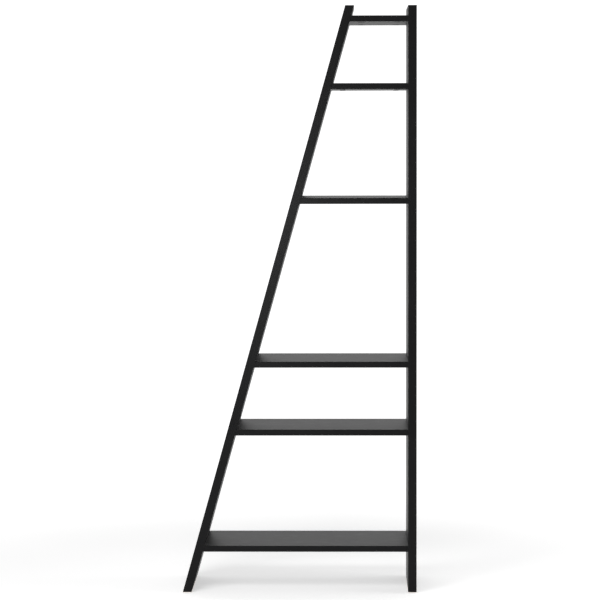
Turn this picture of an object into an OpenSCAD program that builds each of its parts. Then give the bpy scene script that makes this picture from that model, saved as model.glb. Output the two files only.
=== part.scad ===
// Ladder shelf: one upright stands plumb, the other leans in towards it, and six shelves
// of falling length join them. It stands on the floor and is open at the front and back.
// Millimetres. X runs across the front with the leaning upright at -X, the front faces -Y,
// and Z is up. The origin is on the floor, at the middle of the base.

/* [Overall] */
// Width across both uprights at the foot
base_w = 744; // [600:1:1000]
// Width across both uprights at the top
top_w = 225; // [190:1:330]
// Depth of the uprights, front to back
depth = 340; // [260:1:450]

/* [Heights] */
// Floor to the underside of the lowest shelf
foot_space = 131; // [60:1:300]
// Clear height between shelves 1 and 2, counted from the floor up
space_1 = 352; // [120:1:600]
// Clear height between shelves 2 and 3
space_2 = 197; // [120:1:600]
// Clear height between shelves 3 and 4
space_3 = 499; // [120:1:600]
// Clear height between shelves 4 and 5
space_4 = 342; // [120:1:600]
// Clear height between shelves 5 and 6
space_5 = 193; // [120:1:600]
// How far the uprights rise above the top shelf
top_rise = 32; // [20:1:200]

/* [Boards] */
// Thickness of both uprights
upright_t = 27; // [22:0.5:36]
// Thickness of the shelves
shelf_t = 19; // [15.5:0.1:25]
// Distance that the shelves stand back from the uprights' front and back edges
shelf_setback = 1; // [0.5:0.5:10]
// Thickness of the glued edge bands
band_t = 1; // [0.9:0.1:3]
// Radius along the outer corners of the edge bands
band_r = 0.8; // [0.3:0.1:0.8]

/* [Cam fittings] */
// Shelf edge to the centre of the nearest cam lock
cam_inset = 50; // [40:1:80]
// Shelf end to the centre of the cam lock
cam_backset = 34; // [33:0.5:45]
// Diameter of the bore for the cam lock
cam_bore_d = 15; // [15:0.1:20]
// Wall of the cam lock around the bolt's head
cam_wall = 2.2; // [1.8:0.1:2.6]
// Roof of the cam lock above the bolt's head
cam_roof = 1; // [0.8:0.1:1.5]
// Diameter of the cam bolt's head
bolt_head_d = 6.6; // [5.6:0.1:6.8]
// Length of the cam bolt's head
bolt_head_l = 2.6; // [2:0.1:3]
// Diameter of the cam bolt's neck, which the cam lock grips
bolt_neck_d = 4.4; // [3.6:0.1:4.6]
// Diameter of the cam bolt's shank
bolt_shank_d = 6.9; // [6:0.1:7.5]
// Diameter over the cam bolt's thread
bolt_thread_d = 6.2; // [5:0.1:6.4]
// Length of the cam bolt's thread inside the upright
bolt_thread_l = 11; // [8:0.5:13]
// How far the cover cap reaches past the bore for the cam lock
cap_lip = 1.3; // [0.8:0.1:3]
// Thickness of the cover cap
cap_t = 1.1; // [0.8:0.1:2]

/* [Dowels] */
// Diameter of the wooden dowels
dowel_d = 8; // [6:0.5:10]
// Length of the wooden dowels
dowel_l = 35; // [28:1:40]
// Length of dowel that enters the upright
dowel_bite = 13; // [10:1:15]
// Spacing from a cam bolt to the dowel beside it
dowel_spacing = 32; // [20:1:36]
// Number of glue flutes around a dowel
dowel_flutes = 16; // [10:1:24]

/* [Floor glides] */
// Diameter of the nail-on glides
glide_d = 20; // [14:0.5:21]
// Thickness of the glides
glide_t = 2; // [1.8:0.1:5]
// Upright's front or back edge to the glide's centre
glide_inset = 40; // [20:1:80]
// Length of the glide's nail
nail_l = 16; // [10:1:22]
// Diameter of the glide's nail
nail_d = 2; // [1.4:0.1:2.4]

/* [Wall brackets] */
// Width of each wall bracket
bracket_w = 15; // [12:0.5:25]
// Thickness of the bracket's steel
bracket_t = 2; // [1.5:0.1:3]
// Height of the leg that meets the wall
bracket_rise = 14; // [13:0.5:18]
// Length of the leg that lies on the top shelf
bracket_run = 24; // [20:1:40]
// Shelf end to the centre of the bracket
bracket_inset = 35; // [20:1:45]
// Diameter of the hole for the wall screw
anchor_hole_d = 5; // [4:0.1:5.4]
// Top of the shelf to the centre of the wall screw's hole
anchor_up = 8.5; // [7.5:0.1:9]
// Wall face to the centre of the screw that holds the bracket
screw_reach = 14.5; // [10:0.5:16]
// Diameter over the thread of that screw
screw_d = 3.8; // [3:0.1:4.5]
// Length of that screw below its head
screw_l = 14; // [10:0.5:16]

/* [Hidden] */
$fn = 48;
board_black = [0.07, 0.07, 0.072];
band_black = [0.09, 0.09, 0.092];
plastic_black = [0.05, 0.05, 0.05];
zinc = [0.62, 0.62, 0.60];
steel = [0.70, 0.70, 0.68];
beech = [0.78, 0.60, 0.40];

fit = 0.1;         // radial clearance of a fitting in its bore
end_slack = 1;     // depth of a bore past the end of what sits in it
past = 5;          // how far a cutting shape runs past the face that it opens
band_seam = 0.1;   // hairline between the bands that meet at a corner

spaces = [space_1, space_2, space_3, space_4, space_5];
shelf_count = len(spaces) + 1;
top_shelf = shelf_count - 1;

function sum_of_first(list, n) = n <= 0 ? 0 : list[n - 1] + sum_of_first(list, n - 1);
function shelf_under(i) = foot_space + i * shelf_t + sum_of_first(spaces, i);
function shelf_over(i) = shelf_under(i) + shelf_t;
function shelf_middle(i) = shelf_under(i) + shelf_t / 2;

height = shelf_over(top_shelf) + top_rise;
lean_run = (base_w - top_w) / (height - glide_t); // sideways run for each millimetre of rise
lean = atan(lean_run);
lean_across = upright_t / cos(lean);              // level thickness of the leaning upright
plumb_inner_x = base_w / 2 - upright_t;

function lean_outer_x(z) = -base_w / 2 + (z - glide_t) * lean_run;
function lean_inner_x(z) = lean_outer_x(z) + lean_across;

upright_front = -depth / 2;
shelf_front = upright_front + shelf_setback;
cam_y = -shelf_front - cam_inset;
dowel_y = cam_y - dowel_spacing;
glide_y = depth / 2 - glide_inset;

head_r = bolt_head_d / 2;
head_play = 0.3;                          // play around the bolt's head inside the cam lock
cam_r = cam_bore_d / 2 - fit;
cam_room_r = cam_r - cam_wall;            // room for the bolt's head inside the cam lock
cam_over = head_r + head_play + cam_roof; // top of the cam lock above the bolt's axis
// The thick shank starts just clear of the leaning upright's face
shank_start = bolt_shank_d / 2 * lean_run + 0.5;
// The bolt's head stops where it meets the wall of that room
head_start = cam_backset - sqrt(cam_room_r * cam_room_r - head_r * head_r);
head_end = head_start + bolt_head_l;
neck_start = cam_backset - cam_r - 1;
thread_deep = 0.8;
thread_pitch = 1.7;
cap_r = cam_bore_d / 2 + cap_lip;
// Length, width and depth of each driver recess
cam_cross = [6.6, 1.4, 2.8];
bolt_cross = [3.8, 0.9, 1.4];
screw_cross = [4, 0.9, 1.5];

glide_r = glide_d / 2;
nail_head_r = 2.5;
nail_head_t = 0.8;

bracket_back = -shelf_front;
bracket_bend = bracket_t + 1;             // outer radius of the bend
bracket_corner = 3;                       // radius of the corners of both legs
bracket_xs = [lean_inner_x(shelf_over(top_shelf)) + bracket_inset, plumb_inner_x - bracket_inset];
screw_y = bracket_back - screw_reach;
screw_tip = bracket_t - screw_l;
screw_head_r = 3.7;
screw_head_h = 2.3;
screw_rim = 0.5;                          // straight edge of the pan head

shelf_kinds = ["", "_edge_bands", "_cam_bolts", "_cam_locks", "_cover_caps", "_dowels"];
NODES = concat(
    ["leaning_upright", "plumb_upright", "leaning_upright_edge_bands", "plumb_upright_edge_bands"],
    [for (i = [0:top_shelf]) for (kind = shelf_kinds) shelf_node(i, kind)],
    ["leaning_upright_glides", "plumb_upright_glides", "glide_nails"],
    ["wall_brackets", "wall_bracket_screws"]);
node = "all";

function shelf_node(i, kind) = str("shelf_", i + 1, kind);
function wanted(name) = node == "all" || node == name;

// Points along an arc from one angle to another, both ends included
function arc(centre, r, from, to, steps = 6) =
    [for (k = [0:steps]) let (a = from + (to - from) * k / steps) centre + r * [cos(a), sin(a)]];

// Zigzag half-outline of a thread's rings, from low to high, as [radius, height] points
function thread(low, high, root_r, crest_r) =
    let (rings = floor((high - low) / thread_pitch), step = (high - low) / rings)
    [for (k = [0:rings - 1]) for (p = [[root_r, 0.1], [crest_r, 0.5], [root_r, 0.9]])
        [p[0], low + (k + p[1]) * step]];

// ---- placing ----

// Extrudes an outline drawn in X and Z from y = from to y = to
module across_depth(from, to) {
    translate([0, to, 0]) rotate([90, 0, 0]) linear_extrude(to - from) children();
}

// Turns a shape drawn along +Z so that it runs along +X
module along_x() {
    rotate([0, 90, 0]) children();
}

// A copy at the front and its mirror image at the back
module front_and_back() {
    children();
    mirror([0, 1, 0]) children();
}

// At the leaning end of shelf i, with +X running into the shelf and Z at its mid-thickness
module at_leaning_end(i) {
    translate([lean_inner_x(shelf_middle(i)), 0, shelf_middle(i)]) children();
}

// At the plumb end of shelf i, likewise
module at_plumb_end(i) {
    translate([plumb_inner_x, 0, shelf_middle(i)]) mirror([1, 0, 0]) children();
}

module at_both_ends(i) {
    at_leaning_end(i) children();
    at_plumb_end(i) children();
}

module at_cams() {
    for (y = [-cam_y, cam_y]) translate([0, y, 0]) children();
}

module at_dowels() {
    for (y = [-dowel_y, dowel_y]) translate([0, y, 0]) children();
}

// Under each foot of the leaning upright
module at_leaning_glides() {
    for (y = [-glide_y, glide_y]) translate([lean_outer_x(glide_t) + lean_across / 2, y, 0]) children();
}

// Under each foot of the plumb upright
module at_plumb_glides() {
    for (y = [-glide_y, glide_y]) translate([plumb_inner_x + upright_t / 2, y, 0]) children();
}

module at_brackets() {
    for (x = bracket_xs) translate([x, 0, shelf_over(top_shelf)]) children();
}

// ---- bores ----

module thread_bore() {
    translate([-bolt_thread_l - end_slack, 0, 0])
        along_x() cylinder(d = bolt_thread_d + 2 * fit, h = bolt_thread_l + end_slack + past);
}

module shank_bore() {
    translate([-past, 0, 0]) along_x() cylinder(d = bolt_shank_d + 2 * fit, h = cam_backset + past);
}

module cam_bore() {
    translate([cam_backset, 0, -shelf_t / 2 - past])
        cylinder(d = cam_bore_d, h = shelf_t / 2 + past + cam_over + fit);
}

module dowel_bore() {
    translate([-dowel_bite - end_slack, 0, 0])
        along_x() cylinder(d = dowel_d + 2 * fit, h = dowel_l + 2 * end_slack);
}

// What one shelf end needs in its upright
module upright_bores() {
    at_cams() thread_bore();
    at_dowels() dowel_bore();
}

// What one shelf end needs in itself
module shelf_end_bores() {
    at_cams() {
        shank_bore();
        cam_bore();
    }
    at_dowels() dowel_bore();
}

module nail_bore() {
    cylinder(d = nail_d + 2 * fit, h = glide_t + nail_l + end_slack);
}

module bracket_screw_bore() {
    translate([0, screw_y, screw_tip - end_slack]) cylinder(d = screw_d + 2 * fit, h = screw_l + past);
}

// ---- boards and their edge bands ----

// Outline of the leaning upright between two heights, in X and Z
module leaning_outline(low, high) {
    polygon([
        [lean_outer_x(low), low],
        [lean_inner_x(low), low],
        [lean_inner_x(high), high],
        [lean_outer_x(high), high]]);
}

// Outline of the plumb upright between two heights, in X and Z
module plumb_outline(low, high) {
    translate([plumb_inner_x, low]) square([upright_t, high - low]);
}

// Outline between the uprights, cut to the lean at one end and square at the other
module shelf_outline(low, high) {
    polygon([
        [lean_inner_x(low), low],
        [plumb_inner_x, low],
        [plumb_inner_x, high],
        [lean_inner_x(high), high]]);
}

// Everything between two heights
module between_heights(low, high) {
    translate([-base_w, -depth, low]) cube([2 * base_w, 2 * depth, high - low]);
}

// Edge band for a board of thickness w: it runs up +Z, and its rounded face is at y = 0
module band_strip(w, length) {
    linear_extrude(length) polygon(concat(
        [[w, band_t], [0, band_t]],
        arc([band_r, band_r], band_r, 180, 270),
        arc([w - band_r, band_r], band_r, 270, 360)));
}

module leaning_upright() {
    color(board_black) difference() {
        across_depth(upright_front + band_t, -upright_front - band_t)
            leaning_outline(glide_t, height - band_t);
        for (i = [0:top_shelf]) at_leaning_end(i) upright_bores();
        at_leaning_glides() nail_bore();
    }
}

module plumb_upright() {
    color(board_black) difference() {
        across_depth(upright_front + band_t, -upright_front - band_t)
            plumb_outline(glide_t, height - band_t);
        for (i = [0:top_shelf]) at_plumb_end(i) upright_bores();
        at_plumb_glides() nail_bore();
    }
}

// Lies on top of an upright, between its front and back bands
module top_band() {
    across_depth(upright_front + band_t + band_seam, -upright_front - band_t - band_seam) children();
}

module leaning_upright_edge_bands() {
    color(band_black) {
        front_and_back() intersection() {
            translate([lean_outer_x(0), upright_front, 0]) rotate([0, lean, 0])
                translate([0, 0, -upright_t]) band_strip(upright_t, height / cos(lean) + 2 * upright_t);
            between_heights(glide_t, height);
        }
        top_band() leaning_outline(height - band_t, height);
    }
}

module plumb_upright_edge_bands() {
    color(band_black) {
        front_and_back() translate([plumb_inner_x, upright_front, glide_t])
            band_strip(upright_t, height - glide_t);
        top_band() plumb_outline(height - band_t, height);
    }
}

module shelf(i) {
    color(board_black) difference() {
        across_depth(shelf_front + band_t, -shelf_front - band_t)
            shelf_outline(shelf_under(i), shelf_over(i));
        at_both_ends(i) shelf_end_bores();
        if (i == top_shelf) at_brackets() bracket_screw_bore();
    }
}

module shelf_edge_bands(i) {
    color(band_black) front_and_back() intersection() {
        translate([-base_w / 2, shelf_front, shelf_over(i)]) along_x() band_strip(shelf_t, base_w);
        across_depth(shelf_front - past, 0) shelf_outline(shelf_under(i) - past, shelf_over(i) + past);
    }
}

// ---- fittings inside the joints ----

// Screwed into the upright; its head sits in the cam lock
module cam_bolt() {
    crest_r = bolt_thread_d / 2;
    root_r = crest_r - thread_deep;
    shank_r = bolt_shank_d / 2;
    neck_r = bolt_neck_d / 2;
    bevel = 0.4;
    color(steel) along_x() difference() {
        rotate_extrude() polygon(concat(
            [[0, -bolt_thread_l], [root_r - bevel, -bolt_thread_l]],
            thread(bevel - bolt_thread_l, shank_start - bevel, root_r, crest_r),
            [[root_r, shank_start],
             [shank_r, shank_start],
             [shank_r, neck_start - bevel],
             [neck_r, neck_start],
             [neck_r, head_start],
             [head_r - bevel, head_start],
             [head_r, head_start + bevel],
             [head_r, head_end - bevel],
             [head_r - bevel, head_end],
             [0, head_end]]));
        translate([0, 0, head_end - bolt_cross[2]]) cross(bolt_cross, 0, past);
    }
}

// Two crossed bars, for a driver's recess that runs out past a face, or smaller by a
// clearance all round, for what plugs into it
module cross(size, clearance, out) {
    length = size[0] - 2 * clearance;
    width = size[1] - 2 * clearance;
    for (turn = [0, 90]) rotate([0, 0, turn])
        translate([-length / 2, -width / 2, 0]) cube([length, width, size[2] - clearance + out]);
}

// Turns in the shelf and draws the bolt in; shown locked, on the bolt's axis
module cam_lock() {
    face = -shelf_t / 2;
    room = bolt_head_d + 2 * head_play;
    slot = bolt_neck_d + 2 * head_play;
    arrow_tip = cam_r - 0.8;
    arrow_l = 1.7;
    arrow_deep = 0.5;
    color(zinc) difference() {
        translate([0, 0, face]) cylinder(r = cam_r, h = cam_over - face);
        // room that the bolt's head turns in
        translate([0, 0, -room / 2]) cylinder(r = cam_room_r, h = room);
        // slot that the bolt's neck runs along as the cam lock turns
        translate([-cam_r - past, -cam_r - past, -slot / 2])
            cube([cam_r + past, 2 * (cam_r + past), slot]);
        // mouth that the bolt's head enters by, a quarter turn away when locked
        rotate([-90, 0, 0]) cylinder(d = room, h = cam_r + past);
        translate([0, 0, face - past]) rotate([0, 0, 45]) cross(cam_cross, 0, past);
        // arrowhead that points to the bolt
        translate([0, 0, face - past]) linear_extrude(past + arrow_deep) polygon([
            [-arrow_tip, 0], [arrow_l - arrow_tip, -arrow_l * 0.65], [arrow_l - arrow_tip, arrow_l * 0.65]]);
    }
}

// Pushed into the cam lock's recess, and lies against the shelf's underside
module cover_cap() {
    rim = cap_t / 2;
    color(plastic_black) translate([0, 0, -shelf_t / 2]) {
        rotate_extrude() polygon(concat(
            [[0, 0], [0, -cap_t]],
            arc([cap_r - rim, rim - cap_t], rim, -90, 0),
            [[cap_r, 0]]));
        rotate([0, 0, 45]) cross(cam_cross, fit, 0);
    }
}

// Fluted, with bevelled ends; drawn along +Z from its end in the upright
module dowel() {
    r = dowel_d / 2;
    bevel = 1;
    flute_deep = 0.35;
    color(beech) along_x() translate([0, 0, -dowel_bite]) intersection() {
        rotate_extrude() polygon([
            [0, 0], [r - bevel, 0], [r, bevel], [r, dowel_l - bevel], [r - bevel, dowel_l], [0, dowel_l]]);
        linear_extrude(dowel_l) polygon([
            for (k = [0:dowel_flutes - 1]) for (p = [[-0.3, r], [0.1, r], [0.3, r - flute_deep]])
                let (a = 360 * (k + p[0]) / dowel_flutes) p[1] * [cos(a), sin(a)]]);
    }
}

module shelf_cam_bolts(i) {
    at_both_ends(i) at_cams() cam_bolt();
}

module shelf_cam_locks(i) {
    at_both_ends(i) at_cams() translate([cam_backset, 0, 0]) cam_lock();
}

module shelf_cover_caps(i) {
    at_both_ends(i) at_cams() translate([cam_backset, 0, 0]) cover_cap();
}

module shelf_dowels(i) {
    at_both_ends(i) at_dowels() dowel();
}

// ---- floor glides ----

// Plastic disc with a seat for the nail's head in its upper face
module glide() {
    rim = glide_t / 2;
    color(plastic_black) difference() {
        rotate_extrude() polygon(concat(
            [[0, glide_t], [0, 0]],
            arc([glide_r - rim, rim], rim, -90, 0),
            [[glide_r, glide_t]]));
        translate([0, 0, glide_t - nail_head_t - fit]) cylinder(r = nail_head_r + fit, h = past);
    }
}

module glide_nail() {
    nail_r = nail_d / 2;
    color(steel) rotate_extrude() polygon([
        [0, glide_t - nail_head_t],
        [nail_head_r, glide_t - nail_head_t],
        [nail_head_r, glide_t],
        [nail_r, glide_t],
        [nail_r, glide_t + nail_l - 3 * nail_r],
        [0, glide_t + nail_l]]);
}

module leaning_upright_glides() {
    at_leaning_glides() glide();
}

module plumb_upright_glides() {
    at_plumb_glides() glide();
}

module glide_nails() {
    at_leaning_glides() glide_nail();
    at_plumb_glides() glide_nail();
}

// ---- wall brackets ----

// Outline from y = 0 to y = reach, as wide as a bracket, with its far corners rounded
module bracket_leg(reach) {
    w = bracket_w / 2;
    translate([-w, 0]) square([2 * w, reach - bracket_corner]);
    translate([bracket_corner - w, 0]) square([2 * (w - bracket_corner), reach]);
    for (x = [bracket_corner - w, w - bracket_corner])
        translate([x, reach - bracket_corner]) circle(bracket_corner);
}

// Bent steel angle on the top shelf's back edge, with a hole for a screw into the wall
module wall_bracket() {
    bend_centre = [bracket_back - bracket_bend, bracket_bend];
    color(zinc) difference() {
        intersection() {
            translate([-bracket_w, 0, 0]) rotate([90, 0, 90]) linear_extrude(2 * bracket_w) polygon(concat(
                [[bracket_back - bracket_run - past, bracket_t], [bracket_back - bracket_run - past, 0]],
                arc(bend_centre, bracket_bend, -90, 0),
                [[bracket_back, bracket_rise + past], [bracket_back - bracket_t, bracket_rise + past]],
                arc(bend_centre, bracket_bend - bracket_t, 0, -90)));
            translate([0, bracket_back + past, -past]) rotate([0, 0, 180])
                linear_extrude(bracket_rise + 2 * past) bracket_leg(bracket_run + past);
            translate([0, bracket_back + past, -past]) rotate([90, 0, 0])
                linear_extrude(bracket_run + 2 * past) bracket_leg(bracket_rise + past);
        }
        translate([0, bracket_back + past, anchor_up]) rotate([90, 0, 0])
            cylinder(d = anchor_hole_d, h = bracket_t + 2 * past);
        translate([0, screw_y, -past]) cylinder(d = screw_d + 4 * fit, h = bracket_t + 2 * past);
    }
}

// Pan-headed wood screw, with its head on the bracket
module wall_bracket_screw() {
    root_r = screw_d / 2 - thread_deep;
    dome = screw_head_h - screw_rim;
    color(steel) translate([0, screw_y, 0]) difference() {
        rotate_extrude() polygon(concat(
            [[0, screw_tip]],
            thread(screw_tip + screw_d / 2, -fit, root_r, screw_d / 2),
            [[root_r, 0], [root_r, bracket_t], [screw_head_r, bracket_t]],
            [for (a = [0:15:90]) [screw_head_r * cos(a), bracket_t + screw_rim + dome * sin(a)]]));
        translate([0, 0, bracket_t + screw_head_h - screw_cross[2]]) cross(screw_cross, 0, past);
    }
}

module wall_brackets() {
    at_brackets() wall_bracket();
}

module wall_bracket_screws() {
    at_brackets() wall_bracket_screw();
}

// ---- nodes ----

if (wanted("leaning_upright")) leaning_upright();
if (wanted("plumb_upright")) plumb_upright();
if (wanted("leaning_upright_edge_bands")) leaning_upright_edge_bands();
if (wanted("plumb_upright_edge_bands")) plumb_upright_edge_bands();
for (i = [0:top_shelf]) {
    if (wanted(shelf_node(i, ""))) shelf(i);
    if (wanted(shelf_node(i, "_edge_bands"))) shelf_edge_bands(i);
    if (wanted(shelf_node(i, "_cam_bolts"))) shelf_cam_bolts(i);
    if (wanted(shelf_node(i, "_cam_locks"))) shelf_cam_locks(i);
    if (wanted(shelf_node(i, "_cover_caps"))) shelf_cover_caps(i);
    if (wanted(shelf_node(i, "_dowels"))) shelf_dowels(i);
}
if (wanted("leaning_upright_glides")) leaning_upright_glides();
if (wanted("plumb_upright_glides")) plumb_upright_glides();
if (wanted("glide_nails")) glide_nails();
if (wanted("wall_brackets")) wall_brackets();
if (wanted("wall_bracket_screws")) wall_bracket_screws();
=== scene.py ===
import math

import bpy
from mathutils import Matrix, Vector


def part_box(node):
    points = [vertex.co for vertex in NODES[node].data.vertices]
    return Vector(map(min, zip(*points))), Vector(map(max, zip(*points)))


# A ladder shelf. Every piece is a CAD node that keeps its mesh, and gets its material here. The floor, the
# lights and the camera come after the materials. Lengths are in metres and angles in radians.

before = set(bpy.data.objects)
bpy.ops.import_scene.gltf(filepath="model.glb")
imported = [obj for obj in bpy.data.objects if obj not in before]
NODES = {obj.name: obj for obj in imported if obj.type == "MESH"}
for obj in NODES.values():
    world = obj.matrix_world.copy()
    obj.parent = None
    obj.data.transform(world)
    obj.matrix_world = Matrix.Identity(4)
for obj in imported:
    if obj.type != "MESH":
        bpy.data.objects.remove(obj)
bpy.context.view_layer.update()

MM = 0.001
# Smaller than any real size here, so it tells points at one height from all others.
HAIR = 0.1 * MM
SHELVES = [f"shelf_{number}" for number in range(1, 7)]

# ---- node-tree helpers ----

# The span that nearly all of a noise's values lie in.
MIDDLE = (0.3, 0.7)


class Wiring:
    """A node tree, with short calls that add nodes and link them."""

    def __init__(self, tree):
        self.tree = tree

    def add(self, kind, **properties):
        node = self.tree.nodes.new(kind)
        for name, value in properties.items():
            setattr(node, name, value)
        return node

    def put(self, socket, value):
        """Links a node's output to a socket, or sets the socket to a plain value."""
        if isinstance(value, bpy.types.NodeSocket):
            self.tree.links.new(value, socket)
        else:
            socket.default_value = value

    def between(self, value, span, to=(0.0, 1.0), smooth=False):
        """value carried over from one span to another, and held at the ends."""
        node = self.add("ShaderNodeMapRange", interpolation_type="SMOOTHSTEP" if smooth else "LINEAR")
        self.put(node.inputs["Value"], value)
        for socket, end in zip(("From Min", "From Max", "To Min", "To Max"), (*span, *to)):
            self.put(node.inputs[socket], end)
        return node.outputs["Result"]

    def split(self, vector):
        """The outputs X, Y and Z of a vector."""
        node = self.add("ShaderNodeSeparateXYZ")
        self.put(node.inputs["Vector"], vector)
        return node.outputs


class Look(Wiring):
    """A Principled material, and the nodes that feed it."""

    def __init__(self, name, **constants):
        self.material = bpy.data.materials.new(name)
        self.material.use_nodes = True
        super().__init__(self.material.node_tree)
        self.shader = self.tree.nodes["Principled BSDF"]
        self.place = self.add("ShaderNodeTexCoord").outputs["Object"]
        self.feed(**constants)

    def feed(self, **sockets):
        """Feeds the shader's own sockets."""
        for name, value in sockets.items():
            self.put(self.shader.inputs[name.replace("_", " ")], value)

    def drawn_out(self, along, times, turn=0.0):
        """Places in which a pattern is drawn out along one axis, and is times as long there as it is wide.

        turn leans the axis over, about Y.
        """
        node = self.add("ShaderNodeMapping", vector_type="TEXTURE")
        self.put(node.inputs["Vector"], self.place)
        self.put(node.inputs["Rotation"], (0, turn, 0))
        self.put(node.inputs["Scale"], [1.0 if axis == along else 1 / times for axis in "xyz"])
        return node.outputs["Vector"]

    def noise(self, size, detail=2.0, roughness=0.5, place=None):
        """Soft noise from 0 to 1, with features about as large as size."""
        node = self.add("ShaderNodeTexNoise")
        self.put(node.inputs["Vector"], place or self.place)
        self.put(node.inputs["Scale"], 1 / size)
        self.put(node.inputs["Detail"], detail)
        self.put(node.inputs["Roughness"], roughness)
        return node.outputs["Fac"]

    def cells(self, size):
        """Distance to the nearest of many scattered points, about size apart, as a share of size."""
        node = self.add("ShaderNodeTexVoronoi")
        self.put(node.inputs["Vector"], self.place)
        self.put(node.inputs["Scale"], 1 / size)
        return node.outputs["Distance"]

    def maths(self, operation, first, second):
        node = self.add("ShaderNodeMath", operation=operation)
        self.put(node.inputs[0], first)
        self.put(node.inputs[1], second)
        return node.outputs["Value"]

    def blend(self, amount, first, second):
        """Colour that goes from first to second as amount goes from 0 to 1."""
        node = self.add("ShaderNodeMix", data_type="RGBA")
        self.put(node.inputs["Factor"], amount)
        colours = [socket for socket in node.inputs if socket.type == "RGBA"]
        for socket, value in zip(colours, (first, second)):
            self.put(socket, value if isinstance(value, bpy.types.NodeSocket) else (*value, 1.0))
        return next(socket for socket in node.outputs if socket.type == "RGBA")

    def relief(self, height, depth, over=None):
        """Bump of a given depth, on top of an earlier one if there is one."""
        node = self.add("ShaderNodeBump")
        self.put(node.inputs["Distance"], depth)
        self.put(node.inputs["Height"], height)
        if over is not None:
            self.put(node.inputs["Normal"], over)
        return node.outputs["Normal"]

    def arris(self, radius):
        """1 along convex edges and 0 on flats, from how far the rounded normal turns."""
        bevel = self.add("ShaderNodeBevel", samples=6)
        self.put(bevel.inputs["Radius"], radius)
        geometry = self.add("ShaderNodeNewGeometry")
        cosine = self.add("ShaderNodeVectorMath", operation="DOT_PRODUCT")
        self.put(cosine.inputs[0], bevel.outputs["Normal"])
        self.put(cosine.inputs[1], geometry.outputs["True Normal"])
        flat, rounded = 0.99, 0.85
        return self.between(cosine.outputs["Value"], (flat, rounded))


# ---- materials ----


def black_board():
    """Melamine-faced particleboard, with painted glints on its fine relief, and raw chips on the cut ends
    that stand on the glides.
    """
    deep, soft = (0.0068, 0.0068, 0.0071), (0.0086, 0.0086, 0.0090)
    # A painted glint colour for the peaks of the pearl relief.
    painted_glint = (0.017, 0.017, 0.018)
    dark_chip, pale_chip = (0.18, 0.105, 0.05), (0.42, 0.29, 0.17)
    raw_roughness = 0.9

    look = Look("black_board", Specular_IOR_Level=0.12)
    clouds = look.noise(180 * MM, detail=3)
    handling = look.noise(35 * MM, detail=4, roughness=0.6)
    pearl = look.noise(0.9 * MM, detail=2)
    dimples = look.cells(1.6 * MM)
    black = look.blend(look.between(clouds, MIDDLE), deep, soft)
    # Painted highlight: the colour lightens towards the painted glint on the peaks of the pearl relief.
    black = look.blend(look.between(pearl, (0.62, 0.75), to=(0, 0.3)), black, painted_glint)

    chips = look.noise(4 * MM, detail=3, roughness=0.7)
    raw = look.blend(look.between(chips, (0.35, 0.65)), dark_chip, pale_chip)
    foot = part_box("plumb_upright")[0].z
    cut_end = look.maths("LESS_THAN", look.split(look.place)["Z"], foot + HAIR)

    rough = look.between(clouds, MIDDLE, to=(0.445, 0.46))
    rough = look.maths("ADD", rough, look.between(handling, (0.5, 0.75), to=(0, -0.03)))
    fine = look.relief(pearl, 0.02 * MM)
    look.feed(
        Base_Color=look.blend(cut_end, black, raw),
        Roughness=look.maths("MAXIMUM", rough, look.maths("MULTIPLY", cut_end, raw_roughness)),
        Normal=look.relief(dimples, 0.015 * MM, over=fine),
    )
    return look.material


def edge_band(name, along, turn=0.0):
    """Extruded black plastic, with faint lines that run along it, edges polished by scraping, and a
    painted highlight along those edges.
    """
    deep, soft = (0.0066, 0.0066, 0.0069), (0.0086, 0.0086, 0.0090)
    # A painted highlight colour for the convex edges.
    edge_highlight_colour = (0.026, 0.026, 0.027)
    polish = 0.08

    look = Look(name, Specular_IOR_Level=0.11)
    lines = look.noise(20 * MM, detail=3, place=look.drawn_out(along, times=40, turn=turn))
    clouds = look.noise(120 * MM, detail=3)
    pearl = look.noise(0.7 * MM, detail=2)
    convex_edges = look.arris(0.6 * MM)
    black = look.blend(look.between(clouds, MIDDLE), deep, soft)
    # Painted highlight: patchy lighter colour along the convex edges.
    edge_highlight_mask = look.maths("MULTIPLY", convex_edges, look.between(pearl, (0.4, 0.6), to=(0.15, 0.5)))
    rough = look.between(lines, MIDDLE, to=(0.40, 0.44))
    look.feed(
        Base_Color=look.blend(edge_highlight_mask, black, edge_highlight_colour),
        Roughness=look.maths("SUBTRACT", rough, look.maths("MULTIPLY", convex_edges, polish)),
        Normal=look.relief(pearl, 0.012 * MM, over=look.relief(lines, 0.01 * MM)),
    )
    return look.material


def plated_steel():
    """Bright zinc plating on bolts, screws and nails, with turning marks."""
    blue_grey, straw = (0.60, 0.61, 0.63), (0.70, 0.68, 0.62)

    look = Look("plated_steel", Metallic=1.0)
    marks = look.noise(0.5 * MM, detail=2)
    bloom = look.noise(6 * MM, detail=3)
    look.feed(
        Base_Color=look.blend(look.between(bloom, (0.35, 0.65)), blue_grey, straw),
        Roughness=look.between(marks, MIDDLE, to=(0.24, 0.38)),
        Normal=look.relief(marks, 0.01 * MM),
    )
    return look.material


def cast_zinc():
    """Die-cast zinc of the cam locks, dull and slightly mottled."""
    dark, pale = (0.36, 0.37, 0.38), (0.50, 0.50, 0.49)

    look = Look("cast_zinc", Metallic=1.0)
    mottle = look.noise(2.5 * MM, detail=4, roughness=0.65)
    skin = look.noise(0.4 * MM, detail=2)
    look.feed(
        Base_Color=look.blend(look.between(mottle, MIDDLE), dark, pale),
        Roughness=look.between(mottle, MIDDLE, to=(0.42, 0.58)),
        Normal=look.relief(skin, 0.02 * MM),
    )
    return look.material


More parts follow.
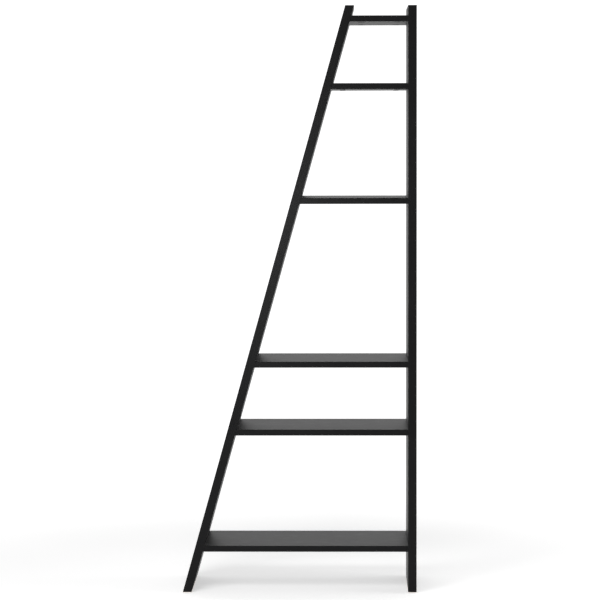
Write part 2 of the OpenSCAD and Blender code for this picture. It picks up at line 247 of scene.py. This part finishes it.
def pressed_zinc():
    """Plated sheet steel of the wall brackets, with rolling lines along X and a painted highlight along
    its edges.
    """
    cool, warm = (0.50, 0.52, 0.54), (0.62, 0.62, 0.60)
    bright = (0.75, 0.75, 0.73)
    # How strongly the edges are painted lighter: a painted highlight.
    wear_and_edge_highlight = 0.6

    look = Look("pressed_zinc", Metallic=1.0)
    rolled = look.noise(8 * MM, detail=3, place=look.drawn_out("x", times=30))
    spangle = look.cells(2.2 * MM)
    convex_edges = look.arris(0.4 * MM)
    zinc = look.blend(look.between(spangle, (0.2, 0.8)), cool, warm)
    look.feed(
        # Painted highlight: the zinc is lightened towards bright along its convex edges.
        Base_Color=look.blend(look.maths("MULTIPLY", convex_edges, wear_and_edge_highlight), zinc, bright),
        Roughness=look.between(rolled, MIDDLE, to=(0.3, 0.42)),
        Normal=look.relief(rolled, 0.01 * MM),
    )
    return look.material


def moulded_black():
    """Moulded plastic of the cover caps and the glides, with a painted highlight along their edges."""
    deep, soft = (0.010, 0.010, 0.010), (0.016, 0.016, 0.0165)
    # A painted highlight colour for the convex edges.
    edge_highlight_grey = (0.045, 0.045, 0.045)
    # How strongly the edges are painted lighter: a painted highlight.
    wear_and_edge_highlight = 0.4

    look = Look("moulded_black", Specular_IOR_Level=0.4)
    grain = look.noise(0.5 * MM, detail=3)
    flow = look.noise(9 * MM, detail=2)
    convex_edges = look.arris(0.4 * MM)
    black = look.blend(look.between(flow, MIDDLE), deep, soft)
    look.feed(
        # Painted highlight: the black is lightened along its convex edges.
        Base_Color=look.blend(look.maths("MULTIPLY", convex_edges, wear_and_edge_highlight), black, edge_highlight_grey),
        Roughness=look.between(flow, MIDDLE, to=(0.44, 0.54)),
        Normal=look.relief(grain, 0.02 * MM),
    )
    return look.material


def beech():
    """Raw beech of the dowels: fine grain along X, with short dark flecks."""
    late, early = (0.46, 0.27, 0.14), (0.66, 0.45, 0.27)
    ray = (0.30, 0.16, 0.08)

    look = Look("beech", Specular_IOR_Level=0.3)
    grain = look.noise(12 * MM, detail=5, roughness=0.65, place=look.drawn_out("x", times=14))
    flecks = look.noise(1.6 * MM, detail=2, place=look.drawn_out("x", times=5))
    wood = look.blend(look.between(grain, MIDDLE), late, early)
    look.feed(
        Base_Color=look.blend(look.between(flecks, (0.62, 0.72), to=(0, 0.5)), wood, ray),
        Roughness=look.between(grain, MIDDLE, to=(0.62, 0.74)),
        Normal=look.relief(grain, 0.05 * MM),
    )
    return look.material


def lean_angle():
    """Angle from plumb of the leaning upright, from the left edge of its foot and of its top."""
    points = [vertex.co for vertex in NODES["leaning_upright"].data.vertices]
    low = min(point.z for point in points)
    high = max(point.z for point in points)
    foot = min(point.x for point in points if point.z < low + HAIR)
    top = min(point.x for point in points if point.z > high - HAIR)
    return math.atan2(top - foot, high - low)


def dress(node, material):
    """Gives every slot of a CAD node one material."""
    slots = NODES[node].data.materials
    slots.clear()
    slots.append(material)


def dress_all():
    board = black_board()
    steel = plated_steel()
    plastic = moulded_black()
    shelf_kinds = {
        "": board,
        "_edge_bands": edge_band("shelf_band", "x"),
        "_cam_bolts": steel,
        "_cam_locks": cast_zinc(),
        "_cover_caps": plastic,
        "_dowels": beech(),
    }
    for shelf in SHELVES:
        for kind, material in shelf_kinds.items():
            dress(shelf + kind, material)
    dress("leaning_upright", board)
    dress("plumb_upright", board)
    dress("leaning_upright_edge_bands", edge_band("leaning_band", "z", lean_angle()))
    dress("plumb_upright_edge_bands", edge_band("plumb_band", "z"))
    dress("leaning_upright_glides", plastic)
    dress("plumb_upright_glides", plastic)
    dress("glide_nails", steel)
    dress("wall_brackets", pressed_zinc())
    dress("wall_bracket_screws", steel)


# ---- floor, light and camera ----


def make_floor(radius, glow, rim_glow):
    """A plain pale disc that glows faintly, and brightens to its rim to meet the white around it."""
    corners = 128
    brightens_from, brightens_to = 0.9, 0.9 * radius
    greyer, whiter = (0.87, 0.87, 0.87), (0.89, 0.89, 0.89)

    turns = [2 * math.pi * step / corners for step in range(corners)]
    ring = [(radius * math.cos(turn), radius * math.sin(turn), 0) for turn in turns]
    mesh = bpy.data.meshes.new("floor")
    mesh.from_pydata(ring, [], [range(corners)])
    floor = bpy.data.objects.new("floor", mesh)
    bpy.context.scene.collection.objects.link(floor)

    look = Look("pale_floor", Roughness=0.9, Specular_IOR_Level=0.1, Emission_Color=(1, 1, 1, 1))
    # Here the noise is real wear only: the floor's grey differs at random, and no highlight is painted.
    wear_and_edge_highlight = look.noise(0.8, detail=3)
    away = look.add("ShaderNodeVectorMath", operation="LENGTH")
    look.put(away.inputs[0], look.place)
    reach = (brightens_from, brightens_to)
    look.feed(
        Base_Color=look.blend(look.between(wear_and_edge_highlight, MIDDLE), greyer, whiter),
        Emission_Strength=look.between(away.outputs["Value"], reach, to=(glow, rim_glow), smooth=True),
    )
    mesh.materials.append(look.material)


def make_world(seen, behind, rest):
    """White where the camera looks at it. As a light, it comes mostly from behind the object."""
    world = bpy.data.worlds.new("studio")
    bpy.context.scene.world = world
    world.use_nodes = True
    wiring = Wiring(world.node_tree)
    background = wiring.tree.nodes["Background"]
    direction = wiring.add("ShaderNodeTexCoord").outputs["Generated"]
    lit = wiring.between(wiring.split(direction)["Y"], (0, 1), to=(rest, behind))
    seen_directly = wiring.add("ShaderNodeLightPath").outputs["Is Camera Ray"]
    wiring.put(background.inputs["Strength"], wiring.between(seen_directly, (0, 1), to=(lit, seen)))
    wiring.put(background.inputs["Color"], (1, 1, 1, 1))


def soft_light(name, spot, target, size, power):
    """A rectangular softbox at spot that faces target. size is its width and height."""
    data = bpy.data.lights.new(name, "AREA")
    data.shape = "RECTANGLE"
    data.size, data.size_y = size
    data.energy = power
    light = bpy.data.objects.new(name, data)
    light.location = spot
    light.rotation_mode = "QUATERNION"
    light.rotation_quaternion = (Vector(target) - Vector(spot)).to_track_quat("-Z", "Y")
    light.visible_camera = False
    bpy.context.scene.collection.objects.link(light)


def make_lights():
    """White behind, softboxes high in front and on the right, and two weak ones close in on the left."""
    make_world(seen=1.2, behind=1.05, rest=0.0)
    soft_light("front_above", spot=(0, -7.8, 5.1), target=(0, 0, 0), size=(4.0, 2.4), power=160)
    soft_light("left_front", spot=(-1.0, -1.8, 1.2), target=(0, 0, 1.2), size=(0.9, 0.9), power=18)
    soft_light("middle_front", spot=(-0.3, -1.4, 1.25), target=(0, 0, 1.25), size=(0.5, 0.5), power=5)
    soft_light("right_side", spot=(4, 0, 1.5), target=(0, 0, 1), size=(3.0, 3.0), power=76)


def make_camera():
    """Stands at eye level, 8.9 m in front of the object, and looks slightly down and to the left."""
    spot = Vector((0.1662, -8.878, 1.465))
    turn_left = math.radians(1.072)
    tilt_down = math.radians(3.496)
    roll = math.radians(0.123)

    data = bpy.data.cameras.new("camera")
    data.sensor_width = 36.0
    data.lens = 165.67
    data.clip_end = 100.0
    camera = bpy.data.objects.new("camera", data)
    # A camera that isn't turned looks straight down, and this raises its gaze to the horizon.
    level = Matrix.Rotation(math.radians(90), 4, "X")
    turned = Matrix.Rotation(turn_left, 4, "Z")
    tilted = Matrix.Rotation(-tilt_down, 4, "X")
    rolled = Matrix.Rotation(roll, 4, "Y")
    aim = turned @ tilted @ rolled
    camera.matrix_world = Matrix.Translation(spot) @ aim @ level
    bpy.context.scene.collection.objects.link(camera)
    bpy.context.scene.camera = camera


dress_all()
make_floor(radius=3.0, glow=0.52, rim_glow=0.85)
make_lights()
make_camera()
bpy.context.scene.view_settings.view_transform = "Standard"
